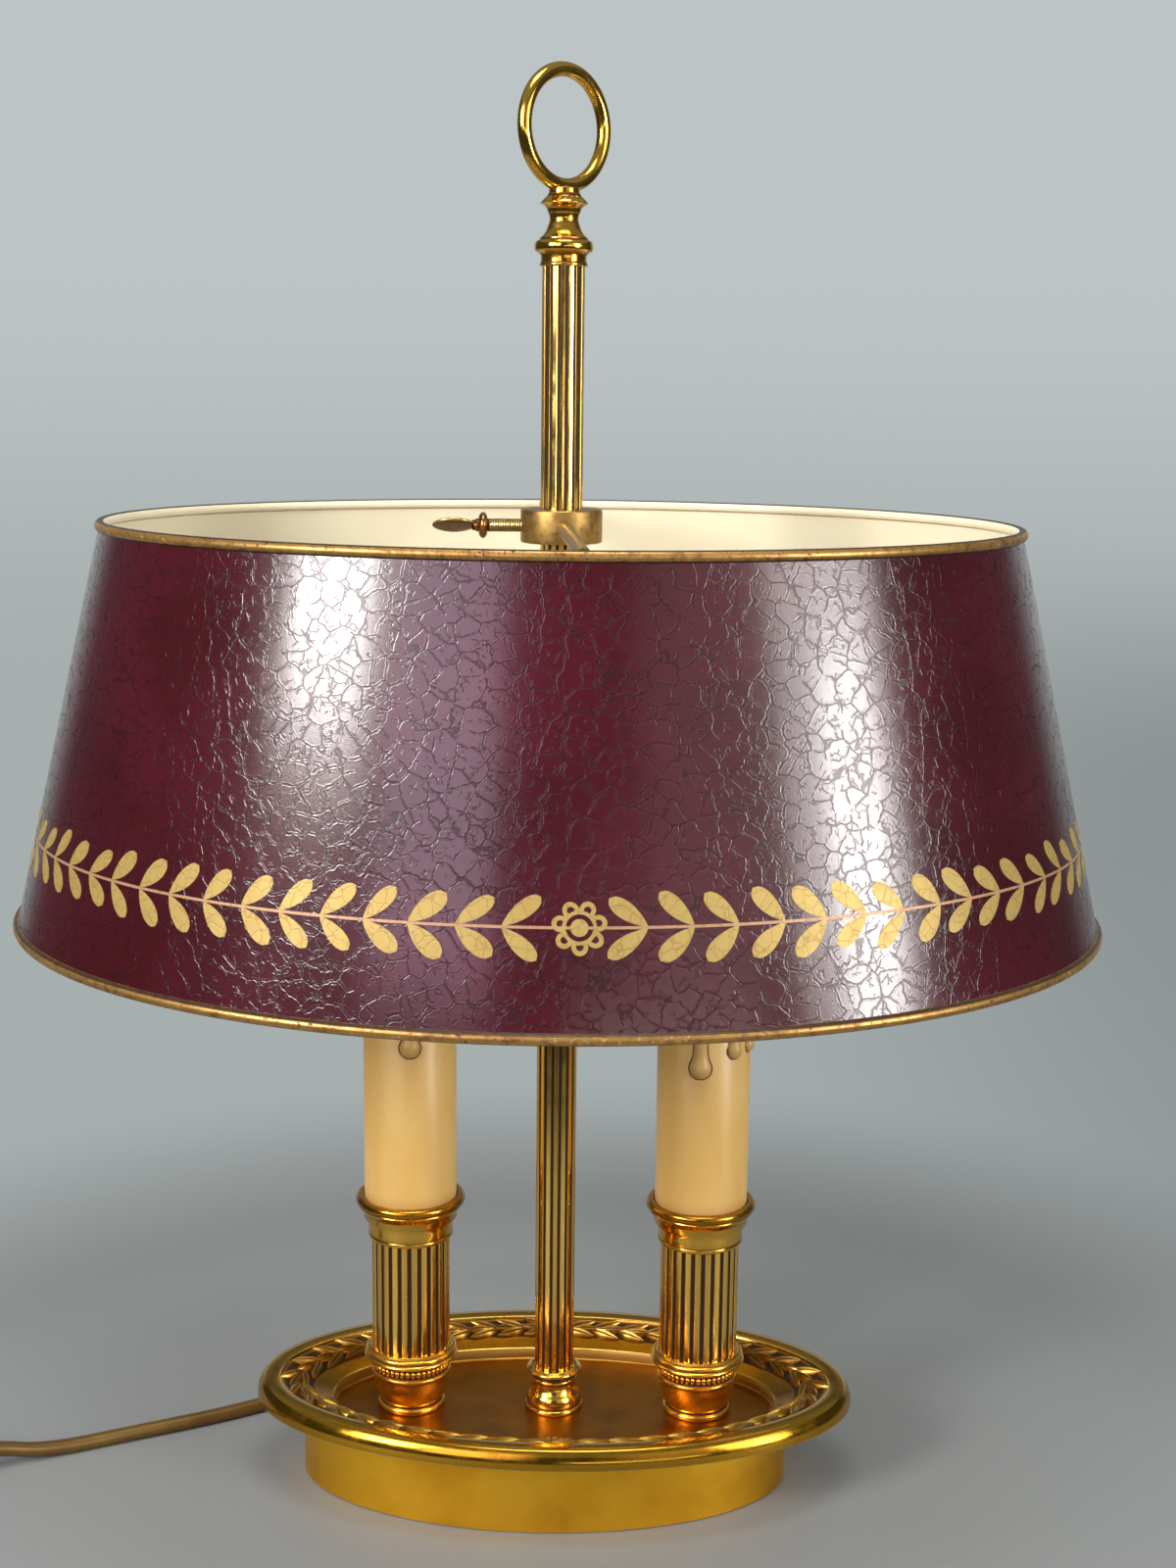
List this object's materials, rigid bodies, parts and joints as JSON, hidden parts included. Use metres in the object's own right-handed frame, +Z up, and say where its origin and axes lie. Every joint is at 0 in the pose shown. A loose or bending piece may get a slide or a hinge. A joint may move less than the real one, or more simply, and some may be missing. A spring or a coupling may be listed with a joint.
{
  "type": "bouillotte lamp",
  "caption": "Table lamp with an oval brass tray base, candle columns, a fluted stem and an oval metal shade that slides on the stem under a thumb screw.",
  "frame": {"origin": "the stem's axis on the surface that the lamp stands on", "axes": "+X along the oval's long axis to the viewer's right, +Y to the back, +Z up the stem"},
  "size_m": [0.5146, 0.2806, 0.4556],
  "materials": {
    "polished_brass": "polished and lacquered, with a warm patina in the hollows",
    "satin_brass": "satin",
    "antique_brass": "matte antique",
    "tole_lacquer": "crackled burgundy lacquer outside, cream paint inside",
    "gilt_edge": "worn gilt",
    "candle_cream": "waxy satin",
    "felt": "felt",
    "ballast_iron": "as cast",
    "zinc_steel": "zinc plated",
    "holder_plastic": "moulded",
    "contact_brass": "plain",
    "lamp_glass": "clear",
    "cap_metal": "rolled",
    "flex_gold": "smooth gold flex sheath",
    "switch_gold": "moulded gold",
    "block_white": "moulded",
    "plug_pin_nickel": "nickel plated"
  },
  "bodies": {
    "base": {"foot_band": "satin_brass", "ballast": "ballast_iron", "bottom_plate": "zinc_steel", "base_felt": "felt", "cover_screws": "zinc_steel", "tray": "polished_brass", "stem_collar": "polished_brass", "stem_tube": "polished_brass", "tie_rod": "zinc_steel", "rod_washer": "zinc_steel", "rod_nut": "zinc_steel", "finial_baluster": "polished_brass", "finial_ring": "polished_brass", "terminal_block": "block_white", "cord_anchor": "block_white", "inner_cord": "flex_gold", "cord_bush": "flex_gold", "cord_lead": "flex_gold", "switch_lower": "switch_gold", "switch_upper": "switch_gold", "switch_screw": "zinc_steel", "cord_tail": "flex_gold", "cord_coil": "flex_gold", "cord_end": "flex_gold", "plug_relief": "switch_gold", "plug_body": "switch_gold", "plug_pins": "plug_pin_nickel", "candle_cup_left": "polished_brass", "column_left": "polished_brass", "capital_left": "polished_brass", "sleeve_left": "candle_cream", "nipple_left": "zinc_steel", "nipple_nut_left": "zinc_steel", "holder_body_left": "holder_plastic", "screw_shell_left": "contact_brass", "centre_contact_left": "contact_brass", "lamp_cap_left": "cap_metal", "lamp_glass_left": "lamp_glass", "lead_left": "block_white", "candle_cup_right": "polished_brass", "column_right": "polished_brass", "capital_right": "polished_brass", "sleeve_right": "candle_cream", "nipple_right": "zinc_steel", "nipple_nut_right": "zinc_steel", "holder_body_right": "holder_plastic", "screw_shell_right": "contact_brass", "centre_contact_right": "contact_brass", "lamp_cap_right": "cap_metal", "lamp_glass_right": "lamp_glass", "lead_right": "block_white"},
    "shade_carriage": {"shade_shell": "tole_lacquer", "shade_top_rim": "gilt_edge", "shade_bottom_rim": "gilt_edge", "clamp_block": "antique_brass", "arm_front": "antique_brass", "arm_back": "antique_brass"},
    "thumb_screw": {"thumb_screw": "antique_brass"},
    "switch_rocker": {"switch_rocker": "switch_gold"}
  },
  "joints": [
    {"name": "shade_slide", "type": "slide", "parent": "base", "child": "shade_carriage", "axis": [0, 0, 1], "range_m": [-0.05, 0.07]},
    {"name": "thumb_screw_turn", "type": "hinge", "parent": "shade_carriage", "child": "thumb_screw", "pos_m": [0, 0, 0.317], "axis": [0.9962, 0.0872, 0], "range_deg": [-720, 0]},
    {"name": "rocker_tilt", "type": "hinge", "parent": "base", "child": "switch_rocker", "pos_m": [-0.22947, -0.03432, 0.0118], "axis": [0.4705, -0.8824, 0], "range_deg": [-16, 0]}
  ]
}
